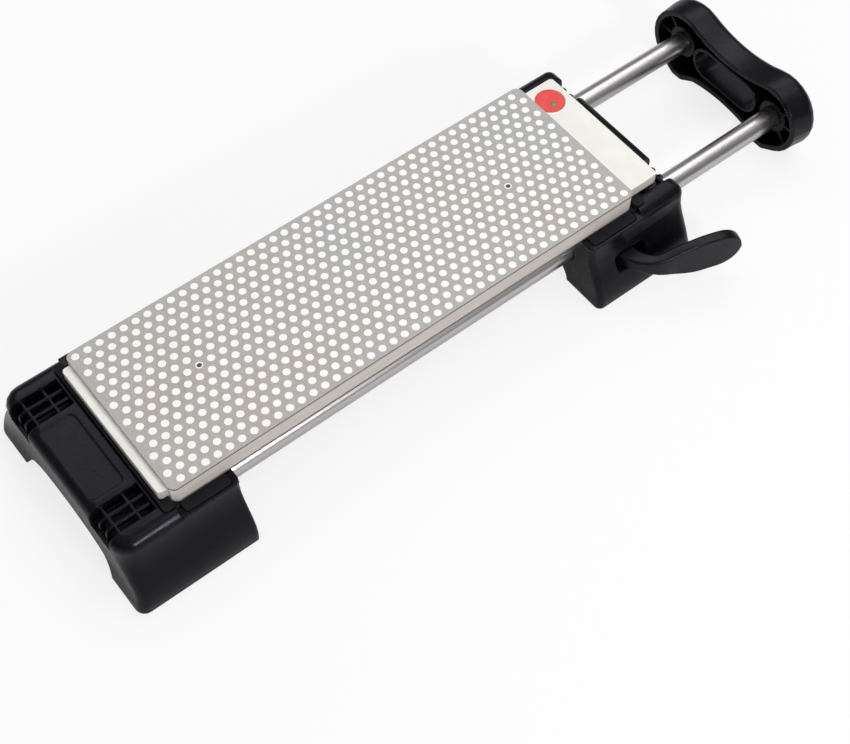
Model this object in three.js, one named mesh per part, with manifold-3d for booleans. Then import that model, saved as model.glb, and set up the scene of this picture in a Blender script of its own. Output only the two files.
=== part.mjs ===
// Double-sided diamond bench stone in an adjustable clamp base.
// Millimetres, +Z up. X runs along the stone towards the handle, Y across it, Z = 0 is the bench.
import * as THREE from 'three';
import { mergeVertices } from 'three/addons/utils/BufferGeometryUtils.js';
import Module from 'manifold-3d';

const wasm = await Module();
wasm.setup();

// Clearances
const GAP = 0.3;
const GLUE = 0.1;

// Stone
const STONE_LENGTH = 200.7;
const STONE_WIDTH = 66.7;
const STONE_THICKNESS = 8.4;
const STONE_CORNER = 2.8;
const PLATE_THICKNESS = 0.8;
const STRIP_INSET = 3.15;
const STRIP_THICKNESS = 4.6;
const STRIP_CORNER = 1.6;
const SHORT_STRIP = 3.4;
const LONG_STRIP = 14.5;

// Grade discs in the long strip
const MARK_DIAMETER = 11.5;
const MARK_THICKNESS = 0.8;
const MARK_EDGE_X = 0.5;
const MARK_EDGE_Y = 3.05;
const MARK_PLUG_DIAMETER = 2.0;
const MARK_PLUG_OFFSET = 2.2;

// Blocks: outer skin
const BLOCK_TOP = 31.9;
const BLOCK_LIFT = 0.7;
const BLOCK_WIDTH = 78.0;
const FOOT_FLARE = 7.8;
const FLARE_LOW = 4.6;
const FLARE_HIGH = 26.0;
const FOOT_HEIGHT = 9.8;
const FOOT_PROUD = 1.7;
const SHOULDER_RADIUS = 4.5;
const BLOCK_WALL = 2.6;
const FIXED_CORNER = 7.0;
const SLIDING_CORNER = 3.6;
const FOOT_CORNER = 3.8;
const FIXED_INNER_CORNER = 1.4;
const SLIDING_INNER_CORNER = 2.6;
const ARCH_WIDTH = 56.4;
const ARCH_HEIGHT = 13.5;
const FLOOR_THICKNESS = 2.6;

// Blocks: how far each shelf reaches under the stone and each bridge past its end
const FIXED_SHELF = 21.8;
const FIXED_BRIDGE = 24.6;
const SLIDING_SHELF = 24.5;
const SLIDING_BRIDGE = 22.2;

// Shelf: lip, rubber mat and rubber end stop
const LIP_PROUD = 0.35;
const LIP_HEIGHT = 1.6;
const LIP_CORNER = 2.6;
const LIP_RIM = 1.9;
const LIP_MARGIN = 1.0;
const LIP_END = 0.6;
const SHELF_SKIN = 2.4;
const MAT_SHEET = 1.5;
const MAT_CORNER = 1.5;
const MAT_GAP = 0.15;
const MAT_END = 1.6;
const STOP_DEPTH = 4.7;
const STOP_STRIP = 1.1;
const STOP_RISE = 2.2;
const STOP_LOBE_RISE = 0.8;
const STOP_LOBE_REACH = 1.7;

// Bridge: grilles and panel
const GRILLE_INNER_Y = 19.3;
const GRILLE_WIDTH = 12.2;
const GRILLE_RIB = 1.1;
const GRILLE_SINK = 1.4;
const GRILLE_RIB_DEPTH = 2.0;
const GRILLE_DROP = 7.5;
const GRILLE_BASE = 1.8;
const GRILLE_FRAME = 1.1;
const GRILLE_LONG_RIBS = [4.2, 8.3];
const GRILLE_CROSS_RIBS = [5.1, 13.3];
const PANEL_MARGIN_X = 3.4;
const PANEL_WIDTH = 32.8;
const PANEL_DEPTH = 0.35;
const PANEL_CORNER = 2.0;

// Rails and their bosses
const RAIL_DIAMETER = 8.6;
const RAIL_SPACING = 51.4;
const RAIL_HEIGHT = 16.9;
const RAIL_SEAT = 6.0;
const BOSS_WALL = 2.6;
const SLIDE_ROOM = 58.8;
const SLIDE_BOSS = 9.5;

// Set screws of the rails
const SET_DIAMETER = 4.0;
const SET_HEAD_DIAMETER = 7.0;
const SET_HEAD = 2.2;
const SET_SETBACK = 11.0;
const SOCKET_WIDTH = 3.0;
const SOCKET_DEPTH = 1.4;

// Release lever: places are measured from its pivot pin
const PIVOT_X = 15.5;
const PIVOT_GAP = 4.8;
const PIN_DIAMETER = 2.8;
const HUB_DIAMETER = 8.4;
const CAM_RADIUS = 3.1;
const LEVER_Z = 15.9;
const NECK_HEIGHT = 5.4;
const PADDLE_Z = 13.7;
const PADDLE_HEIGHT = 17.4;
const ROOT_THICKNESS = 7.0;
const BLADE_THICKNESS = 4.3;
const BLADE_EDGE = 0.9;
const SWELL_START = 0.14;
const SWELL_END = 0.7;
const TIP_START = 0.81;
const LEVER_PATH = [[0.4, -3.7], [2.7, -10.7], [7.6, -16.4], [16.1, -19.0], [29.4, -22.9], [40.6, -26.7]];
const WINDOW_LEFT = 5.0;
const WINDOW_RIGHT = 9.6;
const WINDOW_ABOVE = 0.8;
const LUG_THICKNESS = 2.6;
const SPRING_ROOM = 3.5;
const SPRING_WIRE = 0.8;
const SPRING_TURNS = 3;

// Handle
const HANDLE_DEPTH = 12.6;
const HANDLE_SWELL = 0.8;
const HANDLE_LIFT = 0.2;
const HANDLE_WALL = 2.4;
const HANDLE_FLOOR = 3.4;
const HANDLE_ROUND = 4.0;
const LOBE_RADIUS = 15.6;
const LOBE_Y = 24.2;
const LOBE_Z = 17.2;
const WAIST_TOP = 28.5;
const WAIST_BOTTOM = 6.0;
const WAIST_BOTTOM_RADIUS = 60.0;
const FOOT_Y = 23.7;
const FOOT_WIDTH = 9.6;
const TOE_RADIUS = 3.0;
const HEEL_SLOPE = 0.56;
const HOLD_WIDTH = 32.6;
const HOLD_HEIGHT = 12.0;
const HOLD_WALL = 1.5;
const HOLD_Z = 16.7;
const RIB_THICKNESS = 1.2;
const RIB_SETBACK = 2.5;
const SCREW_DIAMETER = 4.0;
const SCREW_HEAD_DIAMETER = 7.4;
const SCREW_HEAD = 2.4;
const SCREW_REACH = 9.0;

// Rubber feet
const FOOT_PAD = 1.9;
const FOOT_PAD_WIDTH = 9.0;
const FOOT_PAD_LENGTH = 30.0;
const HANDLE_PAD_WIDTH = 4.4;
const HANDLE_PAD_LENGTH = 8.0;

// Places that follow from the sizes above
const STRIP_WIDTH = STONE_WIDTH - 2 * STRIP_INSET;
const SEAT_DEPTH = (STONE_THICKNESS - STRIP_THICKNESS) / 2 - GAP;
const STONE_BOTTOM = BLOCK_TOP - SEAT_DEPTH;
const STONE_TOP = STONE_BOTTOM + STONE_THICKNESS;
const STONE_MIDDLE = STONE_BOTTOM + STONE_THICKNESS / 2;
const HALF_STONE = STONE_LENGTH / 2;
const SHELF_TOP = STONE_BOTTOM - GAP;
const SHELF_FLOOR = STONE_BOTTOM - GLUE - MAT_SHEET - GLUE;
const RAIL_RADIUS = RAIL_DIAMETER / 2;
const RAIL_Y = RAIL_SPACING / 2;
const BOSS_RADIUS = RAIL_RADIUS + BOSS_WALL;
const FIXED_INNER = HALF_STONE - FIXED_SHELF;
const FIXED_OUTER = HALF_STONE + FIXED_BRIDGE;
const SLIDING_INNER = HALF_STONE - SLIDING_SHELF;
const SLIDING_OUTER = HALF_STONE + SLIDING_BRIDGE;
const HANDLE_RIM = SLIDING_OUTER + SLIDE_ROOM;
const HANDLE_REAR = HANDLE_RIM + HANDLE_DEPTH;
const RAIL_START = -(FIXED_OUTER - RAIL_SEAT);
const RAIL_END = HANDLE_REAR - HANDLE_FLOOR - SCREW_HEAD - GAP;
const PIN_X = SLIDING_INNER + PIVOT_X;
const PIN_Y = -(RAIL_Y + RAIL_RADIUS + PIVOT_GAP);
const HUB_LOW = LEVER_Z - NECK_HEIGHT / 2;
const HUB_HIGH = LEVER_Z + NECK_HEIGHT / 2;
const LUG_LOW = HUB_LOW - GAP;
const LUG_HIGH = HUB_HIGH + SPRING_ROOM;

// Materials
function finish(color, roughness, metalness) {
  return new THREE.MeshStandardMaterial({ color, roughness, metalness });
}
const PLASTIC = finish(0x18181b, 0.45, 0);
const RUBBER = finish(0x15171a, 0.85, 0);
const WHITE = finish(0xf4f1ea, 0.5, 0);
const ABRASIVE = finish(0xb0aba6, 0.5, 0.85);
const CHROME = finish(0xd8d8da, 0.12, 1);
const STEEL = finish(0x9a9a9c, 0.35, 1);
const RED = finish(0xe04340, 0.5, 0);
const GREEN = finish(0x4fa06a, 0.5, 0);

// Solids
function solid(geometry) {
  const bare = new THREE.BufferGeometry();
  bare.setAttribute('position', geometry.getAttribute('position'));
  bare.setIndex(geometry.getIndex());
  const welded = mergeVertices(bare, 1e-4);
  const all = welded.getIndex().array;
  const kept = [];
  for (let i = 0; i < all.length; i += 3) {
    const [a, b, c] = [all[i], all[i + 1], all[i + 2]];
    if (a !== b && b !== c && c !== a) kept.push(a, b, c);
  }
  const vertProperties = new Float32Array(welded.getAttribute('position').array);
  const triVerts = new Uint32Array(kept);
  return new wasm.Manifold(new wasm.Mesh({ numProp: 3, vertProperties, triVerts }));
}

function join(first, ...others) {
  return others.reduce((sum, item) => sum.add(item), first);
}

function cut(first, ...others) {
  return others.reduce((rest, item) => rest.subtract(item), first);
}

function piece(name, body, material) {
  const data = body.getMesh();
  const geometry = new THREE.BufferGeometry();
  geometry.setAttribute('position', new THREE.BufferAttribute(new Float32Array(data.vertProperties), 3));
  geometry.setIndex(new THREE.BufferAttribute(new Uint32Array(data.triVerts), 1));
  geometry.computeVertexNormals();
  const mesh = new THREE.Mesh(geometry, material);
  mesh.name = name;
  return mesh;
}

function box(x, y, z) {
  const [x0, x1] = x[0] < x[1] ? x : [x[1], x[0]];
  const [y0, y1] = y[0] < y[1] ? y : [y[1], y[0]];
  const shape = new THREE.BoxGeometry(x1 - x0, y1 - y0, z[1] - z[0]);
  return solid(shape.translate((x0 + x1) / 2, (y0 + y1) / 2, (z[0] + z[1]) / 2));
}

// Upright round bar between two heights
function post(x, y, z, radius, sides = 24) {
  const shape = new THREE.CylinderGeometry(radius, radius, z[1] - z[0], sides).rotateX(Math.PI / 2);
  return solid(shape.translate(x, y, (z[0] + z[1]) / 2));
}

// Round bar along X
function bar(x, y, z, radius, sides = 28) {
  const length = Math.abs(x[1] - x[0]);
  const shape = new THREE.CylinderGeometry(radius, radius, length, sides).rotateZ(Math.PI / 2);
  return solid(shape.translate((x[0] + x[1]) / 2, y, z));
}

// Skin through closed outlines of equal point count, stacked along the third axis
function loft(sections) {
  const count = sections[0].outline.length;
  const positions = [];
  const index = [];
  for (const { at, outline } of sections) {
    for (const p of outline) positions.push(p.x, p.y, at);
  }
  for (let i = 0; i + 1 < sections.length; i += 1) {
    for (let j = 0; j < count; j += 1) {
      const a = i * count + j;
      const b = i * count + (j + 1) % count;
      index.push(a, b, b + count, a, b + count, a + count);
    }
  }
  const last = (sections.length - 1) * count;
  for (const [a, b, c] of THREE.ShapeUtils.triangulateShape(sections[0].outline, [])) index.push(c, b, a);
  for (const [a, b, c] of THREE.ShapeUtils.triangulateShape(sections.at(-1).outline, [])) {
    index.push(last + a, last + b, last + c);
  }
  const geometry = new THREE.BufferGeometry();
  geometry.setAttribute('position', new THREE.Float32BufferAttribute(positions, 3));
  geometry.setIndex(index);
  return geometry;
}

function arc(cx, cy, radius, from, to, steps) {
  const points = [];
  for (let i = 0; i <= steps; i += 1) {
    const angle = from + (to - from) * i / steps;
    points.push(new THREE.Vector2(cx + radius * Math.cos(angle), cy + radius * Math.sin(angle)));
  }
  return points;
}

// Rounded rectangle, with one corner radius at its low end and one at its high end
function roundedOutline(x, halfWidth, lowCorner, highCorner, steps = 4) {
  const turn = Math.PI / 2;
  const [x0, x1] = x;
  const low = halfWidth - lowCorner;
  const high = halfWidth - highCorner;
  return [
    ...arc(x0 + lowCorner, -low, lowCorner, 2 * turn, 3 * turn, steps),
    ...arc(x1 - highCorner, -high, highCorner, 3 * turn, 4 * turn, steps),
    ...arc(x1 - highCorner, high, highCorner, 0, turn, steps),
    ...arc(x0 + lowCorner, low, lowCorner, turn, 2 * turn, steps),
  ];
}

function slab(x, halfWidth, corner, z, steps = 4) {
  const outline = roundedOutline(x, halfWidth, corner, corner, steps);
  return solid(loft([{ at: z[0], outline }, { at: z[1], outline }]));
}

// Stone
function markPlace() {
  const radius = MARK_DIAMETER / 2;
  return { x: HALF_STONE + MARK_EDGE_X + radius, y: STRIP_WIDTH / 2 - MARK_EDGE_Y - radius };
}

function stoneCore() {
  const half = STRIP_THICKNESS / 2;
  const ends = [-(HALF_STONE + SHORT_STRIP), HALF_STONE + LONG_STRIP];
  const inset = PLATE_THICKNESS + GLUE;
  const wideZ = [STONE_BOTTOM + inset, STONE_TOP - inset];
  const wide = slab([-HALF_STONE, HALF_STONE], STONE_WIDTH / 2, STONE_CORNER, wideZ);
  const strip = slab(ends, STRIP_WIDTH / 2, STRIP_CORNER, [STONE_MIDDLE - half, STONE_MIDDLE + half]);
  const { x, y } = markPlace();
  const seat = MARK_DIAMETER / 2 + GLUE;
  const top = [STONE_MIDDLE + half - MARK_THICKNESS - GLUE, STONE_MIDDLE + half + 1];
  const bottom = [STONE_MIDDLE - half - 1, STONE_MIDDLE - half + MARK_THICKNESS + GLUE];
  const plug = post(x, y - MARK_PLUG_OFFSET, [bottom[0], top[1]], MARK_PLUG_DIAMETER / 2 + GLUE, 16);
  return cut(join(wide, strip), post(x, y, top, seat, 32), post(x, y, bottom, seat, 32), plug);
}

function plate(z) {
  return slab([-HALF_STONE, HALF_STONE], STONE_WIDTH / 2, STONE_CORNER, z);
}

function gradeMarkTop() {
  const { x, y } = markPlace();
  const top = STONE_MIDDLE + STRIP_THICKNESS / 2;
  const disc = post(x, y, [top - MARK_THICKNESS, top], MARK_DIAMETER / 2, 32);
  const hole = [top - MARK_THICKNESS - 1, top + 1];
  return cut(disc, post(x, y - MARK_PLUG_OFFSET, hole, MARK_PLUG_DIAMETER / 2 + GLUE, 16));
}

function gradeMarkBottom() {
  const { x, y } = markPlace();
  const low = STONE_MIDDLE - STRIP_THICKNESS / 2;
  const disc = post(x, y, [low, low + MARK_THICKNESS], MARK_DIAMETER / 2, 32);
  const plug = [low + MARK_THICKNESS / 2, STONE_MIDDLE + STRIP_THICKNESS / 2];
  return join(disc, post(x, y - MARK_PLUG_OFFSET, plug, MARK_PLUG_DIAMETER / 2, 16));
}

// Half width of a block at a height: straight sides that sweep out to a broad foot in an S
function sideAt(z) {
  const t = THREE.MathUtils.clamp((z - FLARE_LOW) / (FLARE_HIGH - FLARE_LOW), 0, 1);
  return BLOCK_WIDTH / 2 + FOOT_FLARE * (1 + Math.cos(Math.PI * t)) / 2;
}

function footAt(z) {
  const t = THREE.MathUtils.clamp(z / FOOT_HEIGHT, 0, 1);
  return FOOT_PROUD * (1 + Math.cos(Math.PI * t)) / 2;
}

function shoulderAt(z, radius) {
  const over = Math.max(0, z - (BLOCK_TOP - radius));
  return radius - Math.sqrt(Math.max(0, radius * radius - over * over));
}

function heights() {
  const list = [BLOCK_LIFT, FLARE_LOW / 3, FLARE_LOW * 2 / 3];
  for (let i = 0; i <= 6; i += 1) list.push(FLARE_LOW + (FLARE_HIGH - FLARE_LOW) * i / 6);
  for (let i = 0; i <= 5; i += 1) {
    list.push(BLOCK_TOP - SHOULDER_RADIUS * (1 - Math.sin(Math.PI / 2 * i / 5)));
  }
  return list.sort((a, b) => a - b);
}

// Corner radius in plan: the upper corner passes into the foot's along the flare
function cornerAt(z, upper) {
  const t = THREE.MathUtils.clamp((z - FLARE_LOW) / (FLARE_HIGH - FLARE_LOW), 0, 1);
  return upper + (FOOT_CORNER - upper) * (1 + Math.cos(Math.PI * t)) / 2;
}

// Outline of a block at a height, drawn in by an inset; side is -1 or +1 along X
function blockOutline(side, inner, outer, z, inset) {
  const draw = inset + shoulderAt(z, SHOULDER_RADIUS);
  const far = outer + footAt(z) - draw;
  const corner = Math.max(1.5, cornerAt(z, side > 0 ? SLIDING_CORNER : FIXED_CORNER) - draw);
  const near = Math.max(0.6, (side > 0 ? SLIDING_INNER_CORNER : FIXED_INNER_CORNER) - inset);
  const half = sideAt(z) - draw;
  const low = inner + inset;
  if (side > 0) return roundedOutline([low, far], half, near, corner);
  return roundedOutline([-far, -low], half, corner, near);
}

function blockSkin(side, inner, outer) {
  const section = (at) => ({ at, outline: blockOutline(side, inner, outer, at, 0) });
  return solid(loft(heights().map(section)));
}

function blockHollow(side, inner, outer) {
  const ceiling = SHELF_FLOOR - SHELF_SKIN;
  const flare = [0, 1, 2, 3, 4].map((i) => FLARE_LOW + (FLARE_HIGH - FLARE_LOW) * i / 4);
  const levels = [-1, FLARE_LOW / 2, ...flare.filter((z) => z < ceiling - GAP), ceiling];
  const section = (at) => ({ at, outline: blockOutline(side, inner, outer, at, BLOCK_WALL) });
  return solid(loft(levels.map(section)));
}

function archPrism(x) {
  const half = ARCH_WIDTH / 2;
  const round = arc(0, 0, 1, 0, Math.PI, 24);
  const outline = round.map((p) => new THREE.Vector2(p.x * half, p.y * ARCH_HEIGHT));
  outline.push(new THREE.Vector2(-half, -2), new THREE.Vector2(half, -2));
  const shape = loft([{ at: x[0], outline }, { at: x[1], outline }]);
  return solid(shape.applyMatrix4(ALONG_X));
}

const ALONG_X = new THREE.Matrix4().makeBasis(
  new THREE.Vector3(0, 1, 0),
  new THREE.Vector3(0, 0, 1),
  new THREE.Vector3(1, 0, 0),
);

// Grille: a slot over the bridge's outer edge, crossed by sunken ribs
function grilleSlot(side, start, outer, sign) {
  const y = [sign * GRILLE_INNER_Y, sign * (GRILLE_INNER_Y + GRILLE_WIDTH)];
  return box([side * start, side * (outer + 5)], y, [BLOCK_TOP - GRILLE_DROP, BLOCK_TOP + 5]);
}

function grilleRibs(side, start, outer, sign) {
  const top = BLOCK_TOP - GRILLE_SINK;
  const face = outer - GRILLE_SINK;
  const radius = SHOULDER_RADIUS - GRILLE_SINK;
  const turn = Math.PI / 2;
  const low = BLOCK_TOP - GRILLE_DROP - 1;
  const back = start - GRILLE_FRAME;
  const outline = [
    new THREE.Vector2(back, top - GRILLE_RIB_DEPTH),
    ...arc(face - radius, top - radius, Math.max(0.3, radius - GRILLE_RIB_DEPTH), turn, 0, 3),
    new THREE.Vector2(face - GRILLE_RIB_DEPTH, low),
    new THREE.Vector2(face, low),
    ...arc(face - radius, top - radius, radius, 0, turn, 3),
    new THREE.Vector2(back, top),
  ].map((p) => new THREE.Vector2(side * p.x, p.y));
  if (side < 0) outline.reverse();
  const ribs = GRILLE_LONG_RIBS.map((offset) => {
    const y = sign * (GRILLE_INNER_Y + offset);
    const shape = loft([{ at: -GRILLE_RIB / 2, outline }, { at: GRILLE_RIB / 2, outline }]);
    return solid(shape.rotateX(Math.PI / 2).translate(0, y, 0));
  });
  const y = [sign * (GRILLE_INNER_Y - 0.5), sign * (GRILLE_INNER_Y + GRILLE_WIDTH + 0.5)];
  for (const offset of GRILLE_CROSS_RIBS) {
    const x = sorted(side, outer - offset - GRILLE_RIB / 2, outer - offset + GRILLE_RIB / 2);
    ribs.push(box(x, y, [top - GRILLE_RIB_DEPTH, top]));
  }
  return ribs;
}

// Places along X of the shelf's fittings, as distances from the stone's middle
function shelfPlaces(inner) {
  return {
    matStart: inner + LIP_RIM,
    matEnd: HALF_STONE - MAT_END,
    stopStart: HALF_STONE - MAT_END,
    stopEnd: HALF_STONE + STOP_DEPTH,
    lipEnd: HALF_STONE + LIP_END,
  };
}

function stopHalfWidth() {
  return STONE_WIDTH / 2 + STOP_LOBE_REACH;
}

function matHalfWidth() {
  return BLOCK_WIDTH / 2 - LIP_MARGIN;
}

function sorted(side, a, b) {
  return side > 0 ? [a, b] : [-b, -a];
}

function blockBody(side, inner, outer, bosses) {
  const place = shelfPlaces(inner);
  const skin = blockSkin(side, inner, outer);
  const step = box(
    sorted(side, inner - 5, place.lipEnd),
    [-BLOCK_WIDTH, BLOCK_WIDTH],
    [SHELF_TOP, BLOCK_TOP + 5],
  );
  const grilleStart = place.stopEnd + GRILLE_FRAME;
  const ceiling = SHELF_FLOOR - SHELF_SKIN;
  const vault = box(
    [side * (grilleStart + BLOCK_WALL / 2), side * (outer - BLOCK_WALL - GRILLE_SINK)],
    [-(BLOCK_WIDTH / 2 - SHOULDER_RADIUS), BLOCK_WIDTH / 2 - SHOULDER_RADIUS],
    [ceiling - 1, BLOCK_TOP - BLOCK_WALL],
  );
  const through = sorted(side, inner - 5, outer + 5);
  let body = cut(skin, step, blockHollow(side, inner, outer), vault);
  body = join(body, lip(side, inner));
  const floors = [-1, 1].map((sign) => box(
    through,
    [sign * (ARCH_WIDTH / 2 - BLOCK_WALL), sign * (BLOCK_WIDTH / 2 + FOOT_FLARE)],
    [BLOCK_LIFT, BLOCK_LIFT + FLOOR_THICKNESS],
  ));
  const wells = [-1, 1].map((sign) => box(
    [side * (grilleStart - BLOCK_WALL), side * (outer + 5)],
    [sign * (GRILLE_INNER_Y - BLOCK_WALL), sign * (GRILLE_INNER_Y + GRILLE_WIDTH + BLOCK_WALL)],
    [BLOCK_TOP - GRILLE_DROP - GRILLE_BASE, BLOCK_TOP - GRILLE_DROP + 1],
  ));
  const inside = join(...floors, ...wells, ...bosses).intersect(skin);
  body = cut(join(body, inside), archPrism(through));
  for (const sign of [-1, 1]) body = cut(body, grilleSlot(side, grilleStart, outer, sign));
  for (const sign of [-1, 1]) body = join(body, ...grilleRibs(side, grilleStart, outer, sign));
  const matPocket = slab(
    sorted(side, place.matStart, place.matEnd + GLUE),
    matHalfWidth(),
    MAT_CORNER,
    [SHELF_FLOOR, BLOCK_TOP + 5],
  );
  const stopPocket = slab(
    sorted(side, place.stopStart, place.stopEnd),
    stopHalfWidth(),
    MAT_CORNER,
    [SHELF_FLOOR, BLOCK_TOP + 5],
  );
  const pads = [-1, 1].map((sign) => footPad(side, inner, outer, sign, GLUE));
  return cut(body, matPocket, stopPocket, ...pads);
}

// Rim of the shelf, a little proud of the walls below it
function lip(side, inner) {
  const { lipEnd } = shelfPlaces(inner);
  const half = BLOCK_WIDTH / 2 + LIP_PROUD;
  const z = [SHELF_TOP - LIP_HEIGHT, SHELF_TOP];
  const tray = slab(sorted(side, inner - LIP_PROUD, lipEnd + LIP_CORNER + 1), half, LIP_CORNER, z);
  return tray.intersect(box(sorted(side, inner - 5, lipEnd), [-half - 1, half + 1], [z[0] - 1, z[1] + 1]));
}

function mat(side, inner) {
  const place = shelfPlaces(inner);
  const x = sorted(side, place.matStart + MAT_GAP, place.matEnd - GLUE);
  const z = [SHELF_FLOOR + GLUE, STONE_BOTTOM - GLUE];
  return slab(x, matHalfWidth() - MAT_GAP, MAT_CORNER - MAT_GAP, z);
}

// End stop: a strip across the shelf with a lobe that rises beside each corner of the stone
function stop(side, inner, stripRise) {
  const place = shelfPlaces(inner);
  const low = SHELF_FLOOR + GLUE;
  const half = stopHalfWidth() - GLUE;
  const corner = MAT_CORNER - GLUE;
  const lobeTop = BLOCK_TOP + STOP_LOBE_RISE;
  const baseX = sorted(side, place.stopStart + GLUE, place.stopEnd - GLUE);
  const base = slab(baseX, half, corner, [low, STONE_BOTTOM - GLUE]);
  const wallX = sorted(side, HALF_STONE + GAP, place.stopEnd - GLUE);
  const wall = slab(wallX, half, corner, [low, lobeTop]);
  const free = STRIP_WIDTH / 2 + GAP;
  const middle = box([wallX[0] - 1, wallX[1] + 1], [-free, free], [BLOCK_TOP - GAP, lobeTop + 1]);
  const body = join(base, cut(wall, middle));
  if (stripRise <= 0) return body;
  const stripStart = HALF_STONE + SHORT_STRIP + GAP;
  const stripEnd = Math.max(place.stopEnd - GLUE, stripStart + STOP_STRIP / 2);
  const strip = box(
    [side * stripStart, side * stripEnd],
    [-free - 1, free + 1],
    [STONE_BOTTOM, BLOCK_TOP + stripRise],
  );
  return join(body, strip.intersect(slab(wallX, half, corner, [low, BLOCK_TOP + stripRise])));
}

function footPad(side, inner, outer, sign, grow) {
  const middle = side * (inner + outer) / 2;
  const y = sign * (ARCH_WIDTH / 2 + BLOCK_WIDTH / 2 + FOOT_FLARE) / 2;
  const outline = roundedOutline(
    [-FOOT_PAD_LENGTH / 2 - grow, FOOT_PAD_LENGTH / 2 + grow],
    FOOT_PAD_WIDTH / 2 + grow,
    2 + grow,
    2 + grow,
    4,
  );
  const shape = loft([{ at: grow > 0 ? -1 : 0, outline }, { at: FOOT_PAD + grow, outline }]);
  return solid(shape.translate(middle, y, 0));
}

function setScrewHole(sign) {
  const x = -(FIXED_OUTER - RAIL_SEAT - SET_SETBACK);
  return post(x, sign * RAIL_Y, [0, RAIL_HEIGHT], SET_DIAMETER / 2 + GAP, 20);
}

function setScrew(sign) {
  const x = -(FIXED_OUTER - RAIL_SEAT - SET_SETBACK);
  const y = sign * RAIL_Y;
  const headTop = RAIL_HEIGHT - BOSS_RADIUS - GLUE;
  const tip = RAIL_HEIGHT - RAIL_RADIUS - GLUE;
  const head = post(x, y, [headTop - SET_HEAD, headTop], SET_HEAD_DIAMETER / 2, 24);
  const shank = post(x, y, [headTop - 0.5, tip], SET_DIAMETER / 2, 20);
  const socketZ = [headTop - SET_HEAD - 1, headTop - SET_HEAD + SOCKET_DEPTH];
  const socket = post(x, y, socketZ, SOCKET_WIDTH / 2, 6);
  return cut(join(head, shank), socket);
}

function fixedBlock() {
  const length = [-FIXED_OUTER, -FIXED_INNER];
  const bosses = [-1, 1].map((sign) => bar(length, sign * RAIL_Y, RAIL_HEIGHT, BOSS_RADIUS, 20));
  const body = blockBody(-1, FIXED_INNER, FIXED_OUTER, bosses);
  const bores = [-1, 1].map((sign) => bar(
    [RAIL_START - GLUE, -FIXED_INNER + 5],
    sign * RAIL_Y,
    RAIL_HEIGHT,
    RAIL_RADIUS + GLUE,
  ));
  const start = shelfPlaces(FIXED_INNER).stopEnd;
  const panel = slab(
    [-(FIXED_OUTER - PANEL_MARGIN_X), -(start + PANEL_MARGIN_X)],
    PANEL_WIDTH / 2,
    PANEL_CORNER,
    [BLOCK_TOP - PANEL_DEPTH, BLOCK_TOP + 1],
  );
  return cut(body, ...bores, panel, setScrewHole(-1), setScrewHole(1));
}

// Lever: a blade swept along its plan curve, from a tall root to a round paddle
function leverBlade() {
  const path = new THREE.CatmullRomCurve3(LEVER_PATH.map(([x, y]) => new THREE.Vector3(x, y, 0)));
  const steps = 26;
  const sides = 16;
  const positions = [];
  const index = [];
  const straight = 18;
  for (let i = 0; i <= steps; i += 1) {
    const turn = Math.max(0, i - straight) / (steps - straight) * Math.PI / 2;
    const t = Math.min(i / straight, 1) * TIP_START + (1 - TIP_START) * Math.sin(turn);
    const centre = path.getPointAt(Math.min(t, 1));
    const along = path.getTangentAt(Math.min(t, 1));
    const swell = THREE.MathUtils.smoothstep(t, SWELL_START, SWELL_END);
    const root = 1 - THREE.MathUtils.smoothstep(t, 0, 0.34);
    const end = Math.max(0.02, Math.cos(turn));
    const height = (NECK_HEIGHT + (PADDLE_HEIGHT - NECK_HEIGHT) * swell) * end;
    const thick = (BLADE_THICKNESS + (ROOT_THICKNESS - BLADE_THICKNESS) * root) * (0.8 + 0.2 * end);
    const z = LEVER_Z + (PADDLE_Z - LEVER_Z) * swell;
    const edge = Math.min(BLADE_EDGE, height * 0.4, thick * 0.4);
    for (const p of roundedOutline([-thick / 2, thick / 2], height / 2, edge, edge, 3)) {
      positions.push(centre.x - along.y * p.x, centre.y + along.x * p.x, z + p.y);
    }
  }
  for (let i = 0; i < steps; i += 1) {
    for (let j = 0; j < sides; j += 1) {
      const a = i * sides + j;
      const b = i * sides + (j + 1) % sides;
      index.push(a, b, b + sides, a, b + sides, a + sides);
    }
  }
  for (let j = 1; j + 1 < sides; j += 1) {
    index.push(0, j + 1, j);
    index.push(steps * sides, steps * sides + j, steps * sides + j + 1);
  }
  const geometry = new THREE.BufferGeometry();
  geometry.setAttribute('position', new THREE.Float32BufferAttribute(positions, 3));
  geometry.setIndex(index);
  return solid(geometry.translate(PIN_X, PIN_Y, 0));
}

function lever() {
  const hub = post(PIN_X, PIN_Y, [HUB_LOW, HUB_HIGH], HUB_DIAMETER / 2, 28);
  const camY = -(RAIL_Y + RAIL_RADIUS + GAP + CAM_RADIUS);
  const cam = post(PIN_X, camY, [HUB_LOW, HUB_HIGH], CAM_RADIUS, 24);
  const hole = post(PIN_X, PIN_Y, [HUB_LOW - 1, HUB_HIGH + 1], PIN_DIAMETER / 2 + GAP, 20);
  return cut(join(hub, cam, leverBlade()), hole);
}

function leverPin() {
  const lowest = LUG_LOW - LUG_THICKNESS;
  return post(PIN_X, PIN_Y, [lowest, SHELF_FLOOR - SHELF_SKIN - GAP], PIN_DIAMETER / 2, 20);
}

class Coil extends THREE.Curve {
  constructor(radius, low, high, turns) {
    super();
    Object.assign(this, { radius, low, high, turns });
  }

  getPoint(t, target = new THREE.Vector3()) {
    const angle = 2 * Math.PI * this.turns * t;
    const z = this.low + (this.high - this.low) * t;
    return target.set(this.radius * Math.cos(angle), this.radius * Math.sin(angle), z);
  }
}

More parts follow.
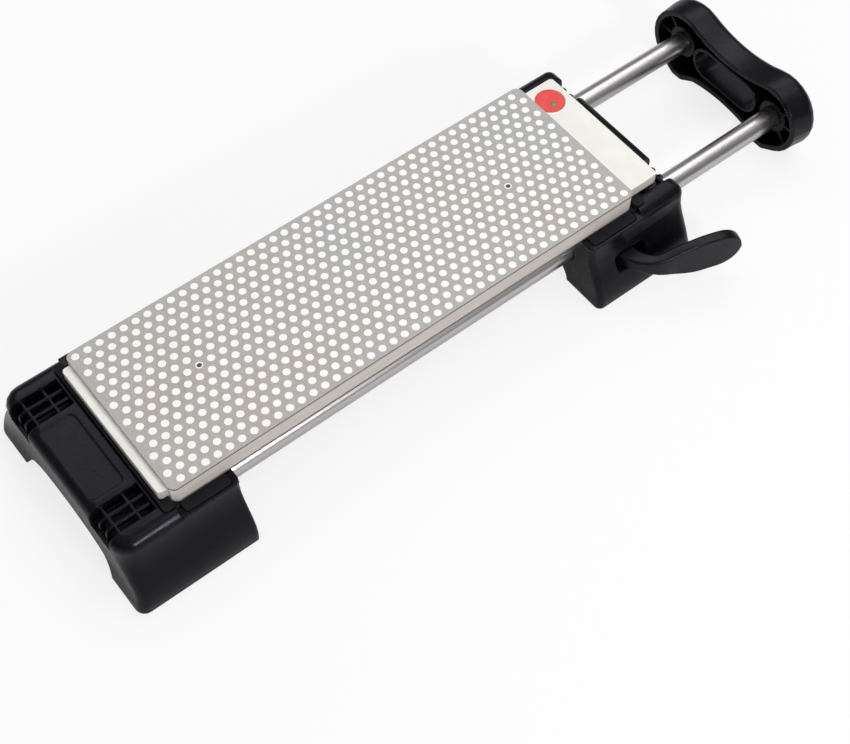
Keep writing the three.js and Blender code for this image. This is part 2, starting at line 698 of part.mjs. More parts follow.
function leverSpring() {
  const wire = SPRING_WIRE / 2;
  const radius = PIN_DIAMETER / 2 + GAP + wire;
  const path = new Coil(radius, HUB_HIGH + GLUE + wire, LUG_HIGH - GLUE - wire, SPRING_TURNS);
  const section = new THREE.Shape(arc(0, 0, wire, 0, 2 * Math.PI * 5 / 6, 5));
  const shape = new THREE.ExtrudeGeometry(section, { steps: 14 * SPRING_TURNS, extrudePath: path });
  return solid(shape.translate(PIN_X, PIN_Y, 0));
}

function slidingBlock() {
  const ends = [[SLIDING_INNER, SLIDING_INNER + SLIDE_BOSS], [SLIDING_OUTER - SLIDE_BOSS, SLIDING_OUTER]];
  const boss = (x, sign) => bar(x, sign * RAIL_Y, RAIL_HEIGHT, BOSS_RADIUS, 20);
  const bosses = ends.flatMap((x) => [boss(x, -1), boss(x, 1)]);
  const lugX = [PIN_X - WINDOW_LEFT - BLOCK_WALL, PIN_X + WINDOW_RIGHT + BLOCK_WALL];
  const lugInner = PIN_Y + HUB_DIAMETER / 2;
  const lugY = [-(BLOCK_WIDTH / 2 + FOOT_FLARE), lugInner];
  const lowLug = box(lugX, lugY, [LUG_LOW - LUG_THICKNESS, LUG_LOW]);
  const highLug = box(lugX, lugY, [LUG_HIGH, SHELF_FLOOR]);
  const body = blockBody(1, SLIDING_INNER, SLIDING_OUTER, [...bosses, lowLug, highLug]);
  const bores = [-1, 1].map((sign) => bar(
    [SLIDING_INNER - 5, SLIDING_OUTER + 5],
    sign * RAIL_Y,
    RAIL_HEIGHT,
    RAIL_RADIUS + GAP,
  ));
  const pinZ = [LUG_LOW - LUG_THICKNESS - 1, SHELF_FLOOR - SHELF_SKIN];
  const pin = post(PIN_X, PIN_Y, pinZ, PIN_DIAMETER / 2 + GLUE, 20);
  const coilRadius = PIN_DIAMETER / 2 + GAP + SPRING_WIRE + GAP;
  const coilRoom = post(PIN_X, PIN_Y, [HUB_LOW, LUG_HIGH], coilRadius, 24);
  const hubRoom = post(PIN_X, PIN_Y, [LUG_LOW, HUB_HIGH + GAP], HUB_DIAMETER / 2 + GAP, 28);
  return cut(body, ...bores, leverWindow(), pin, coilRoom, hubRoom);
}

function leverWindow() {
  const low = LUG_LOW;
  const high = HUB_HIGH + WINDOW_ABOVE;
  const outline = roundedOutline([PIN_X - WINDOW_LEFT, PIN_X + WINDOW_RIGHT], (high - low) / 2, 2, 2, 4);
  const reach = BLOCK_WIDTH / 2 + FOOT_FLARE + 5;
  const shape = loft([{ at: -PIN_Y - HUB_DIAMETER / 2, outline }, { at: reach, outline }]);
  return solid(shape.rotateX(Math.PI / 2).translate(0, 0, (high + low) / 2));
}

// Handle outline: two lobes joined by a waist, on two flat feet. It is drawn in all round by an
// inset, and the lobes and the waist are set out by a swell.
function handleOutline(inset, swell = 0) {
  const rise = WAIST_TOP - LOBE_Z;
  const waist = (LOBE_Y ** 2 + rise ** 2 - LOBE_RADIUS ** 2) / (2 * (LOBE_RADIUS - rise));
  const waistZ = WAIST_TOP + waist;
  const lobe = LOBE_RADIUS + swell - inset;
  const toe = Math.max(TOE_RADIUS - inset, 0.2);
  const drawn = inset + toe;
  const toeZ = HANDLE_LIFT + drawn;
  const toeInner = FOOT_Y - FOOT_WIDTH / 2 + drawn;
  const toeOuter = FOOT_Y + FOOT_WIDTH / 2 - drawn;
  const top = Math.atan2(waistZ - LOBE_Z, -LOBE_Y);
  const span = Math.hypot(LOBE_Y - toeOuter, LOBE_Z - toeZ);
  const lean = Math.atan2(LOBE_Z - toeZ, LOBE_Y - toeOuter);
  const flank = lean - Math.acos((toe - lobe) / span);
  const down = -Math.PI / 2;
  const heelTurn = -Math.PI / 2 - HEEL_SLOPE;
  const under = WAIST_BOTTOM_RADIUS + inset;
  const underZ = WAIST_BOTTOM - WAIST_BOTTOM_RADIUS;
  const heel = new THREE.Vector2(toeInner + toe * Math.cos(heelTurn), toeZ + toe * Math.sin(heelTurn));
  const meet = slopeMeets(heel, underZ, under);
  const bend = Math.atan2(meet.y - underZ, meet.x);
  const half = [
    ...arc(0, underZ, under, Math.PI / 2, bend, 4).slice(1),
    ...arc(toeInner, toeZ, toe, heelTurn, down, 3),
    ...arc(toeOuter, toeZ, toe, down, flank, 4),
    ...arc(LOBE_Y, LOBE_Z, lobe, flank, top, 13),
    ...arc(0, waistZ, waist - swell + inset, top - Math.PI, -Math.PI / 2, 5).slice(1, -1),
  ];
  const mirrored = half.map((p) => new THREE.Vector2(-p.x, p.y)).reverse();
  return [
    new THREE.Vector2(0, WAIST_BOTTOM + inset),
    ...half,
    new THREE.Vector2(0, WAIST_TOP + swell - inset),
    ...mirrored,
  ];
}

// Where the heel's slope up and inwards from a point meets a circle centred under the waist
function slopeMeets(point, centreZ, radius) {
  const dx = point.x;
  const dz = point.y - centreZ;
  const [inwards, up] = [Math.cos(HEEL_SLOPE), Math.sin(HEEL_SLOPE)];
  const b = dz * up - dx * inwards;
  const c = dx * dx + dz * dz - radius * radius;
  const s = -b + Math.sqrt(b * b - c);
  return new THREE.Vector2(dx - s * inwards, point.y + s * up);
}

function alongX(sections) {
  return solid(loft(sections).applyMatrix4(ALONG_X));
}

function oblong(x, halfWidth, halfHeight) {
  const corner = halfHeight - 0.01;
  const outline = roundedOutline([-halfWidth, halfWidth], halfHeight, corner, corner, 8);
  const lifted = outline.map((p) => new THREE.Vector2(p.x, p.y + HOLD_Z));
  return alongX([{ at: x[0], outline: lifted }, { at: x[1], outline: lifted }]);
}

function handle() {
  const sections = [{ at: HANDLE_RIM, outline: handleOutline(0) }];
  for (let i = 0; i <= 5; i += 1) {
    const angle = Math.PI / 2 * i / 5;
    const at = HANDLE_REAR - HANDLE_ROUND * (1 - Math.sin(angle));
    sections.push({ at, outline: handleOutline(HANDLE_ROUND * (1 - Math.cos(angle)), HANDLE_SWELL) });
  }
  const outer = alongX(sections);
  const floor = HANDLE_REAR - HANDLE_FLOOR;
  const hollow = handleOutline(HANDLE_WALL);
  const cavity = alongX([{ at: HANDLE_RIM - 1, outline: hollow }, { at: floor, outline: hollow }]);
  const holdX = [HANDLE_RIM + 1, HANDLE_REAR];
  const inside = [oblong(holdX, HOLD_WIDTH / 2 + HOLD_WALL, HOLD_HEIGHT / 2 + HOLD_WALL)];
  const headX = [HANDLE_REAR - SCREW_HEAD - GAP, HANDLE_REAR + 1];
  const holes = [oblong([HANDLE_RIM - 1, HANDLE_REAR + 1], HOLD_WIDTH / 2, HOLD_HEIGHT / 2)];
  for (const sign of [-1, 1]) {
    const y = sign * RAIL_Y;
    inside.push(bar([HANDLE_RIM + RIB_SETBACK, HANDLE_REAR - 1], y, RAIL_HEIGHT, BOSS_RADIUS, 20));
    for (const turn of [-45, 0, 45]) inside.push(handleRib(sign, turn));
    holes.push(bar([HANDLE_RIM - 1, RAIL_END + GLUE], y, RAIL_HEIGHT, RAIL_RADIUS + GLUE));
    holes.push(bar([RAIL_END, HANDLE_REAR + 1], y, RAIL_HEIGHT, SCREW_DIAMETER / 2 + GAP, 20));
    holes.push(bar(headX, y, RAIL_HEIGHT, SCREW_HEAD_DIAMETER / 2 + GAP, 24));
    holes.push(handlePad(sign, GLUE));
  }
  return cut(join(cut(outer, cavity), join(...inside).intersect(outer)), ...holes);
}

function handleRib(sign, turn) {
  const reach = LOBE_RADIUS * 2;
  const shape = new THREE.BoxGeometry(HANDLE_DEPTH, reach, RIB_THICKNESS);
  shape.translate(HANDLE_RIM + RIB_SETBACK + HANDLE_DEPTH / 2, reach / 2, 0);
  shape.rotateX(THREE.MathUtils.degToRad(turn));
  if (sign < 0) shape.rotateZ(Math.PI).translate(2 * HANDLE_RIM + 2 * RIB_SETBACK + HANDLE_DEPTH, 0, 0);
  return solid(shape.translate(0, sign * RAIL_Y, RAIL_HEIGHT));
}

function handlePad(sign, grow) {
  const middle = HANDLE_RIM + (HANDLE_DEPTH - HANDLE_ROUND) / 2;
  const x = [middle - HANDLE_PAD_LENGTH / 2 - grow, middle + HANDLE_PAD_LENGTH / 2 + grow];
  const half = HANDLE_PAD_WIDTH / 2 + grow;
  const low = grow > 0 ? -1 : 0;
  return box(x, [sign * FOOT_Y - half, sign * FOOT_Y + half], [low, FOOT_PAD + grow]);
}

function handleScrew(sign) {
  const y = sign * RAIL_Y;
  const seat = HANDLE_REAR - SCREW_HEAD - GAP + GLUE;
  const head = bar([seat, seat + SCREW_HEAD], y, RAIL_HEIGHT, SCREW_HEAD_DIAMETER / 2, 24);
  const shank = bar([RAIL_END - SCREW_REACH, seat + 0.5], y, RAIL_HEIGHT, SCREW_DIAMETER / 2, 20);
  const socketX = [seat + SCREW_HEAD - SOCKET_DEPTH, seat + SCREW_HEAD + 1];
  const socket = bar(socketX, y, RAIL_HEIGHT, SOCKET_WIDTH / 2, 6);
  return cut(join(head, shank), socket);
}

function rail(sign) {
  const y = sign * RAIL_Y;
  const rod = bar([RAIL_START, RAIL_END], y, RAIL_HEIGHT, RAIL_RADIUS);
  const tapped = [RAIL_END - SCREW_REACH - 1, RAIL_END + 1];
  return cut(rod, bar(tapped, y, RAIL_HEIGHT, SCREW_DIAMETER / 2 + GLUE, 20));
}

// Assembly: the base, the sliding block with its lever, and the stone
const base = new THREE.Group();
base.add(
  piece('fixed_block', fixedBlock(), PLASTIC),
  piece('fixed_mat', mat(-1, FIXED_INNER), RUBBER),
  piece('fixed_stop', stop(-1, FIXED_INNER, STOP_RISE), RUBBER),
  piece('fixed_foot_near', footPad(-1, FIXED_INNER, FIXED_OUTER, -1, 0), RUBBER),
  piece('fixed_foot_far', footPad(-1, FIXED_INNER, FIXED_OUTER, 1, 0), RUBBER),
  piece('rail_near', rail(-1), CHROME),
  piece('rail_far', rail(1), CHROME),
  piece('fixed_rail_screw_near', setScrew(-1), STEEL),
  piece('fixed_rail_screw_far', setScrew(1), STEEL),
  piece('handle', handle(), PLASTIC),
  piece('handle_foot_near', handlePad(-1, 0), RUBBER),
  piece('handle_foot_far', handlePad(1, 0), RUBBER),
  piece('handle_screw_near', handleScrew(-1), STEEL),
  piece('handle_screw_far', handleScrew(1), STEEL),
);

const slider = new THREE.Group();
slider.add(
  piece('sliding_block', slidingBlock(), PLASTIC),
  piece('sliding_mat', mat(1, SLIDING_INNER), RUBBER),
  piece('sliding_stop', stop(1, SLIDING_INNER, 0), RUBBER),
  piece('sliding_foot_near', footPad(1, SLIDING_INNER, SLIDING_OUTER, -1, 0), RUBBER),
  piece('sliding_foot_far', footPad(1, SLIDING_INNER, SLIDING_OUTER, 1, 0), RUBBER),
  piece('lever', lever(), PLASTIC),
  piece('lever_pin', leverPin(), STEEL),
  piece('lever_spring', leverSpring(), STEEL),
);

const stone = new THREE.Group();
stone.add(
  piece('stone_core', stoneCore(), WHITE),
  piece('top_plate', plate([STONE_TOP - PLATE_THICKNESS, STONE_TOP]), ABRASIVE),
  piece('bottom_plate', plate([STONE_BOTTOM, STONE_BOTTOM + PLATE_THICKNESS]), ABRASIVE),
  piece('grade_mark_top', gradeMarkTop(), RED),
  piece('grade_mark_bottom', gradeMarkBottom(), GREEN),
);

// The origin is on the bench, under the middle of the whole object
const model = new THREE.Group();
model.add(base, slider, stone);
const bounds = new THREE.Box3().setFromObject(model, true);
const middle = bounds.getCenter(new THREE.Vector3());
model.position.set(-middle.x, -middle.y, -bounds.min.z);

const root = new THREE.Group();
root.add(model);

export default root;
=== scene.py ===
"""Looks of the diamond bench stone and its clamp base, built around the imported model."""
import math

import bpy
from mathutils import Matrix, Vector


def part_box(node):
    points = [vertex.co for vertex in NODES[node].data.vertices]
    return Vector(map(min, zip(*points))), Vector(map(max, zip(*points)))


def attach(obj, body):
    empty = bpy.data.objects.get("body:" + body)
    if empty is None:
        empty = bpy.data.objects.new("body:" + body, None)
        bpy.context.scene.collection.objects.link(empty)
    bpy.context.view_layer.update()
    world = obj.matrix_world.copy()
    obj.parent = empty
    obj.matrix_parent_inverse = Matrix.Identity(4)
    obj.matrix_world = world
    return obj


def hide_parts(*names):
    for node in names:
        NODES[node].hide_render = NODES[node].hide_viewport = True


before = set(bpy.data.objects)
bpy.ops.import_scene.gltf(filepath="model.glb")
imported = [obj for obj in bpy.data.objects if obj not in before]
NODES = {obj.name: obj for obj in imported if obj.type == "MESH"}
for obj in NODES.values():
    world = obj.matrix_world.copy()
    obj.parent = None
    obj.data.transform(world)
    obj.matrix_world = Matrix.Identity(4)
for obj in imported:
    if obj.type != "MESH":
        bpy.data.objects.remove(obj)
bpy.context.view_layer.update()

MM = 0.001
scene = bpy.context.scene
scene.view_settings.view_transform = "Standard"

PLATE_LOW, PLATE_HIGH = (Vector(corner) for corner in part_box("top_plate"))
UNDER_LOW, UNDER_HIGH = (Vector(corner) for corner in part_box("bottom_plate"))
MIDDLE = Vector((
    (PLATE_LOW.x + PLATE_HIGH.x) / 2,
    (PLATE_LOW.y + PLATE_HIGH.y) / 2,
    PLATE_HIGH.z,
))

# Camera, with its place relative to the middle of the plate's top
CAMERA_SENSOR = 36.0
CAMERA_LENS = 65.976
CAMERA_NEAR = 0.02
CAMERA_RIGHT = Vector((0.7866398, -0.6173732, 0.0069379))
CAMERA_UP = Vector((0.5164933, 0.6641751, 0.5404684))
CAMERA_FROM_MIDDLE = Vector((-0.185335, -0.268359, 0.441731))

# Lamps: name, place, size and power in watts; all aim at the origin
LAMPS = (
    ("key", (0.42, -0.27, 1.25), (0.75, 0.5), 4.5),
    ("fill", (0.50, 0.70, 1.20), (1.6, 0.5), 7.0),
    ("front", (-0.05, -0.97, 0.58), (0.2, 0.14), 6.0),
)

# Pale floor and backdrop, and how much of them the camera and the mirrors see
FLOOR_HALF = 4.0
FLOOR_DROP = 0.3 * MM
FLOOR_GREY = 0.86
FLOOR_SEEN = 0.8
FLOOR_MIRRORED = 0.15
BACKDROP_GREY = 0.84
BACKDROP_SEEN = 1.0
BACKDROP_MIRRORED = 0.06
# Grey levels of the world's light from the horizon up to the zenith
SKY = ((0.0, 0.50), (0.30, 0.34), (0.62, 0.62), (0.85, 0.92), (1.0, 0.96))
SKY_STRENGTH = 0.5

# Rounded edges and smooth shading
WELD_GAP = 0.002 * MM
CORNER_GAP = 0.001 * MM
BEVEL_SEGMENTS = 2
BEVEL_ANGLE = 40
SMOOTH_ANGLE = 32
SHADER_EDGE_SAMPLES = 6

# Perforation: staggered rows of round holes, filled flush by the white core
DOT_PITCH = 4.8101 * MM
ROW_PITCH = 4.07 * MM
STAGGER = 0.25
DOT_ROWS = 16
DOTS_IN_ROW = 41
DOT_RADIUS = 1.475 * MM
CIRCLE_STEPS = 20
PLATE_CORNER = 2.8 * MM
PLATE_CORNER_STEPS = 8
PLATE_EDGE = 0.05 * MM
PLATE_EDGE_STEPS = 1
# Row and number of the two dots that have a pin hole, with a dark plug of painted shade at
# its bottom
PIN_DOTS = ((7, 6), (8, 34))
# Rings of the dots, the pin holes and the plugs of painted shade in them: radius and depth
# below the plate's face, in mm
DOT_RINGS = ((1.445, 0.70), (1.445, 0.06), (1.385, 0.02))
PIN_HOLE = ((1.00, 0.02), (0.93, 0.08), (0.90, 0.68))
SHADE_PLUG = ((0.89, 0.67), (0.89, 0.40), (0.50, 0.44), (0.14, 0.445))

# Walls that close the inner sides of the wells under the grilles; these black walls stand in
# for the shade inside the hollow blocks, so the pale floor doesn't show through
WELL_WALL_Y = (17.4 * MM, 18.6 * MM)
WELL_WALL_Z = (25.4 * MM, 29.3 * MM)
WELL_WALL_END = 5.7 * MM
WELL_WALL_CORNER = 0.5 * MM
WELL_WALL_CORNER_STEPS = 4
FIXED_WELL_START = 19.2 * MM
SLIDING_WELL_START = 16.8 * MM

# The middle span of a noise's values, and the sockets of a colour Mix node
NOISE_LOW, NOISE_HIGH = 0.3, 0.7
MIX_FACTOR, MIX_FIRST, MIX_SECOND, MIX_RESULT = 0, 6, 7, 2


def add_camera():
    data = bpy.data.cameras.new("camera")
    data.sensor_fit = "HORIZONTAL"
    data.sensor_width = CAMERA_SENSOR
    data.lens = CAMERA_LENS
    data.clip_start = CAMERA_NEAR
    camera = bpy.data.objects.new("camera", data)
    scene.collection.objects.link(camera)
    back = CAMERA_RIGHT.cross(CAMERA_UP)
    turn = Matrix((CAMERA_RIGHT, CAMERA_UP, back)).transposed().to_4x4()
    camera.matrix_world = Matrix.Translation(MIDDLE + CAMERA_FROM_MIDDLE) @ turn
    scene.camera = camera


def set_stops(ramp, stops):
    elements = ramp.color_ramp.elements
    while len(elements) < len(stops):
        elements.new(0.5)
    for element, (at, colour) in zip(elements, stops):
        element.position = at
        element.color = (*colour, 1.0)


# Materials; the scales of noise are per metre
class Paint:
    """A procedural material around one Principled shader."""

    def __init__(self, name, metal=0.0, specular=0.5):
        self.material = bpy.data.materials.new(name)
        self.material.use_nodes = True
        self.tree = self.material.node_tree
        self.shader = self.tree.nodes["Principled BSDF"]
        self.shader.inputs["Metallic"].default_value = metal
        self.shader.inputs["Specular IOR Level"].default_value = specular
        self.place = self.tree.nodes.new("ShaderNodeTexCoord").outputs["Object"]

    def link(self, out, socket):
        self.tree.links.new(out, socket)

    def feed(self, value, socket):
        if isinstance(value, float):
            socket.default_value = value
        else:
            self.link(value, socket)

    def stretched(self, x, y, z):
        node = self.tree.nodes.new("ShaderNodeMapping")
        node.inputs["Scale"].default_value = (x, y, z)
        self.link(self.place, node.inputs["Vector"])
        return node.outputs["Vector"]

    def noise(self, scale, detail, rough=0.5, place=None):
        node = self.tree.nodes.new("ShaderNodeTexNoise")
        node.inputs["Scale"].default_value = scale
        node.inputs["Detail"].default_value = detail
        node.inputs["Roughness"].default_value = rough
        self.link(place or self.place, node.inputs["Vector"])
        return node.outputs["Fac"]

    def ramp(self, value, *stops):
        node = self.tree.nodes.new("ShaderNodeValToRGB")
        set_stops(node, stops)
        self.link(value, node.inputs["Fac"])
        return node.outputs["Color"]

    def blend(self, value, low, high, end=NOISE_HIGH):
        return self.ramp(value, (NOISE_LOW, low), (end, high))

    def mapped(self, value, low, high, start=NOISE_LOW, end=NOISE_HIGH):
        node = self.tree.nodes.new("ShaderNodeMapRange")
        node.inputs["From Min"].default_value = start
        node.inputs["From Max"].default_value = end
        node.inputs["To Min"].default_value = low
        node.inputs["To Max"].default_value = high
        self.link(value, node.inputs["Value"])
        return node.outputs["Result"]

    def mixed(self, factor, first, second, kind="MIX"):
        node = self.tree.nodes.new("ShaderNodeMix")
        node.data_type = "RGBA"
        node.blend_type = kind
        self.feed(factor, node.inputs[MIX_FACTOR])
        self.link(first, node.inputs[MIX_FIRST])
        self.link(second, node.inputs[MIX_SECOND])
        return node.outputs[MIX_RESULT]

    def math(self, operation, first, second=None):
        node = self.tree.nodes.new("ShaderNodeMath")
        node.operation = operation
        self.link(first, node.inputs[0])
        if second is not None:
            self.feed(second, node.inputs[1])
        return node.outputs[0]

    def times(self, first, second):
        return self.math("MULTIPLY", first, second)

    def plus(self, first, second):
        return self.math("ADD", first, second)

    def facing(self, axis, start, end):
        """How far a face looks along an axis, from 0 at start to 1 at end."""
        normal = self.tree.nodes.new("ShaderNodeNewGeometry").outputs["Normal"]
        parts = self.tree.nodes.new("ShaderNodeSeparateXYZ")
        self.link(normal, parts.inputs[0])
        return self.mapped(self.math("ABSOLUTE", parts.outputs[axis]), 0.0, 1.0, start, end)

    def colour(self, out):
        self.link(out, self.shader.inputs["Base Color"])

    def rough(self, out):
        self.link(out, self.shader.inputs["Roughness"])

    def bump(self, height, distance, strength, edge=0.0):
        """Fine relief, and with edge also a rounding of the edges in the shader."""
        node = self.tree.nodes.new("ShaderNodeBump")
        node.inputs["Strength"].default_value = strength
        node.inputs["Distance"].default_value = distance
        self.link(height, node.inputs["Height"])
        if edge:
            rounding = self.tree.nodes.new("ShaderNodeBevel")
            rounding.samples = SHADER_EDGE_SAMPLES
            rounding.inputs["Radius"].default_value = edge
            self.link(rounding.outputs["Normal"], node.inputs["Normal"])
        self.link(node.outputs["Normal"], self.shader.inputs["Normal"])


def moulded_black():
    paint = Paint("moulded_black", specular=0.17)
    paint.shader.inputs["Specular Tint"].default_value = (0.86, 0.85, 1.0, 1.0)
    patch = paint.noise(scale=70, detail=3)
    paint.colour(paint.blend(
        patch, low=(0.0024, 0.0023, 0.0040), high=(0.0038, 0.0036, 0.0058),
    ))
    gloss = paint.noise(scale=260, detail=4, rough=0.6)
    paint.rough(paint.mapped(gloss, low=0.26, high=0.34))
    # The coarser grain is on the flat tops only
    grain = paint.times(
        paint.noise(scale=1000, detail=3, rough=0.55),
        paint.facing("Z", start=0.9, end=0.99),
    )
    speckle_share = 0.2
    speckle = paint.times(paint.noise(scale=3000, detail=2), speckle_share)
    paint.bump(paint.plus(grain, speckle), distance=0.08 * MM, strength=0.5, edge=0.7 * MM)
    return paint.material


def soft_black():
    paint = Paint("soft_black", specular=0.14)
    patch = paint.noise(scale=90, detail=3)
    paint.colour(paint.blend(
        patch, low=(0.0068, 0.0070, 0.0092), high=(0.0096, 0.0100, 0.0128),
    ))
    paint.rough(paint.mapped(paint.noise(scale=300, detail=3), low=0.55, high=0.7))
    grain = paint.noise(scale=2600, detail=3, rough=0.6)
    paint.bump(grain, distance=0.04 * MM, strength=0.6)
    return paint.material


def abrasive_steel():
    paint = Paint("abrasive_steel", metal=0.25, specular=0.25)
    grit = paint.noise(scale=2600, detail=3, rough=0.7)
    grain = paint.blend(grit, low=(0.39, 0.372, 0.359), high=(0.535, 0.515, 0.497))
    # Warm and cool tints that vary at random over the plate
    warm_cool_mottle = paint.ramp(
        paint.noise(scale=24, detail=4, rough=0.6),
        (0.30, (0.955, 0.985, 1.03)),
        (0.48, (1.0, 1.0, 1.0)),
        (0.60, (1.0, 0.96, 0.925)),
        (0.78, (0.93, 0.86, 0.80)),
    )
    face = paint.mixed(1.0, grain, warm_cool_mottle, "MULTIPLY")
    # Faces that look neither up nor down, the plate's edges and hole walls, get a dark
    # colour: painted shade of the gap between plate and core
    painted_gap_shade = paint.blend(grit, low=(0.10, 0.092, 0.085), high=(0.16, 0.148, 0.138))
    paint.colour(paint.mixed(paint.facing("Z", start=0.1, end=0.5), painted_gap_shade, face))
    gloss = paint.noise(scale=900, detail=3, rough=0.6)
    paint.rough(paint.mapped(gloss, low=0.58, high=0.72))
    paint.bump(grit, distance=0.02 * MM, strength=0.6)
    return paint.material


def white_plastic(name, low, high, sides=None):
    """White moulding; sides gives the low and high colour of the long sides, a darker beige
    that is painted shade.
    """
    paint = Paint(name, specular=0.4)
    top = paint.blend(paint.noise(scale=55, detail=4, rough=0.6), low, high, end=0.65)
    if sides:
        # Faces that look along Y get a darker beige with streaks: painted shade on the long
        # sides
        streak = paint.noise(scale=1, detail=3, rough=0.6, place=paint.stretched(40, 40, 600))
        painted_side_shade = paint.blend(streak, *sides)
        top = paint.mixed(paint.facing("Y", start=0.6, end=0.9), top, painted_side_shade)
    paint.colour(top)
    paint.rough(paint.mapped(paint.noise(scale=420, detail=3), low=0.4, high=0.52))
    paint.bump(paint.noise(scale=1800, detail=2), distance=0.02 * MM, strength=0.4)
    return paint.material


def chrome():
    paint = Paint("chrome", metal=1.0)
    streak = paint.noise(scale=1, detail=3, rough=0.6, place=paint.stretched(3, 700, 700))
    paint.colour(paint.blend(streak, low=(0.485, 0.465, 0.475), high=(0.545, 0.515, 0.51)))
    paint.rough(paint.mapped(streak, low=0.27, high=0.32))
    return paint.material


def plain_steel():
    paint = Paint("plain_steel", metal=1.0)
    patch = paint.noise(scale=1400, detail=3, rough=0.6)
    paint.colour(paint.blend(patch, low=(0.40, 0.40, 0.41), high=(0.55, 0.55, 0.56)))
    paint.rough(paint.mapped(patch, low=0.24, high=0.38))
    return paint.material


def tinted(name, low, high):
    paint = Paint(name, specular=0.4)
    paint.colour(paint.blend(paint.noise(scale=240, detail=3, rough=0.6), low, high))
    paint.rough(paint.mapped(paint.noise(scale=700, detail=2), low=0.36, high=0.5))
    paint.bump(paint.noise(scale=1500, detail=2), distance=0.02 * MM, strength=0.4)
    return paint.material


# Shading and rounded edges
def smoothing(angle):
    group = bpy.data.node_groups.new("smooth_by_angle", "GeometryNodeTree")
    for way in ("INPUT", "OUTPUT"):
        group.interface.new_socket("Geometry", in_out=way, socket_type="NodeSocketGeometry")
    start = group.nodes.new("NodeGroupInput")
    end = group.nodes.new("NodeGroupOutput")
    faces = group.nodes.new("GeometryNodeSetShadeSmooth")
    faces.domain = "FACE"
    edges = group.nodes.new("GeometryNodeSetShadeSmooth")
    edges.domain = "EDGE"
    turn = group.nodes.new("GeometryNodeInputMeshEdgeAngle")
    flat = group.nodes.new("FunctionNodeCompare")
    flat.data_type = "FLOAT"
    flat.operation = "LESS_THAN"
    flat.inputs["B"].default_value = math.radians(angle)
    links = group.links
    links.new(start.outputs[0], faces.inputs[0])
    links.new(faces.outputs[0], edges.inputs[0])
    links.new(turn.outputs["Unsigned Angle"], flat.inputs["A"])
    links.new(flat.outputs["Result"], edges.inputs["Shade Smooth"])
    links.new(edges.outputs[0], end.inputs[0])
    return group


SMOOTH = smoothing(SMOOTH_ANGLE)


def soften(obj, width=0.0):
    """Smooth shading by angle, and with a width also bevelled edges."""
    weld = obj.modifiers.new("weld", "WELD")
    weld.merge_threshold = WELD_GAP
    if width:
        edge = obj.modifiers.new("edge", "BEVEL")
        edge.width = width
        edge.segments = BEVEL_SEGMENTS
        edge.limit_method = "ANGLE"
        edge.angle_limit = math.radians(BEVEL_ANGLE)
        edge.use_clamp_overlap = False
        # Merges the corners that the bevel leaves on top of each other
        corners = obj.modifiers.new("corners", "WELD")
        corners.merge_threshold = CORNER_GAP
    smooth = obj.modifiers.new("smooth", "NODES")
    smooth.node_group = SMOOTH
    normals = obj.modifiers.new("normals", "WEIGHTED_NORMAL")
    normals.keep_sharp = True


def dress(obj, material):
    obj.data.materials.clear()
    obj.data.materials.append(material)


# Outlines and meshes
def circle(x, y, radius):
    steps = [2 * math.pi * i / CIRCLE_STEPS for i in range(CIRCLE_STEPS)]
    return [(x + radius * math.cos(a), y + radius * math.sin(a)) for a in steps]


def rounded_outline(low, high, radius, count):
    """Rectangle with round corners, each corner an arc of count steps."""
    corners = (
        (high.x - radius, high.y - radius, 0),
        (low.x + radius, high.y - radius, 1),
        (low.x + radius, low.y + radius, 2),
        (high.x - radius, low.y + radius, 3),
    )
    points = []
    for x, y, quarter in corners:
        for i in range(count + 1):
            a = math.pi / 2 * (quarter + i / count)
            points.append((x + radius * math.cos(a), y + radius * math.sin(a)))
    return points


def add_spline(curve, points):
    spline = curve.splines.new("POLY")
    spline.points.add(len(points) - 1)
    for point, (x, y) in zip(spline.points, points):
        point.co = (x, y, 0.0, 1.0)
    spline.use_cyclic_u = True


def add_mesh(name, verts, faces):
    mesh = bpy.data.meshes.new(name)
    mesh.from_pydata(verts, [], faces)
    mesh.update()
    obj = bpy.data.objects.new(name, mesh)
    scene.collection.objects.link(obj)
    return obj


# Perforated plates, the white dots that fill them, and dark plugs of painted shade at the
# bottom of the pin holes in two of the dots
def dot_places():
    for row in range(DOT_ROWS):
        y = MIDDLE.y + ((DOT_ROWS - 1) / 2 - row) * ROW_PITCH
        shift = -STAGGER if row % 2 == 0 else STAGGER
        for n in range(DOTS_IN_ROW):
            x = MIDDLE.x + (n - (DOTS_IN_ROW - 1) / 2 + shift) * DOT_PITCH
            yield row, n, x, y


def perforated(name, node, low, high):
    """Plate with its holes, from a filled curve that gives it slightly rounded edges."""
    curve = bpy.data.curves.new(name + "_outline", "CURVE")
    curve.dimensions = "2D"
    curve.fill_mode = "BOTH"
    curve.extrude = (high.z - low.z) / 2 - PLATE_EDGE
    curve.bevel_depth = PLATE_EDGE
    curve.bevel_resolution = PLATE_EDGE_STEPS
    curve.offset = -PLATE_EDGE
    add_spline(curve, rounded_outline(low, high, PLATE_CORNER, PLATE_CORNER_STEPS))
    for _, _, x, y in dot_places():
        add_spline(curve, circle(x, y, DOT_RADIUS))
    outline = bpy.data.objects.new(name + "_outline", curve)
    scene.collection.objects.link(outline)
    graph = bpy.context.evaluated_depsgraph_get()
    mesh = bpy.data.meshes.new_from_object(outline.evaluated_get(graph))
    bpy.data.objects.remove(outline)
    mesh.transform(Matrix.Translation((0, 0, (low.z + high.z) / 2)))
    plate = bpy.data.objects.new(name, mesh)
    scene.collection.objects.link(plate)
    soften(plate)
    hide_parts(node)
    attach(plate, "stone")
    return plate


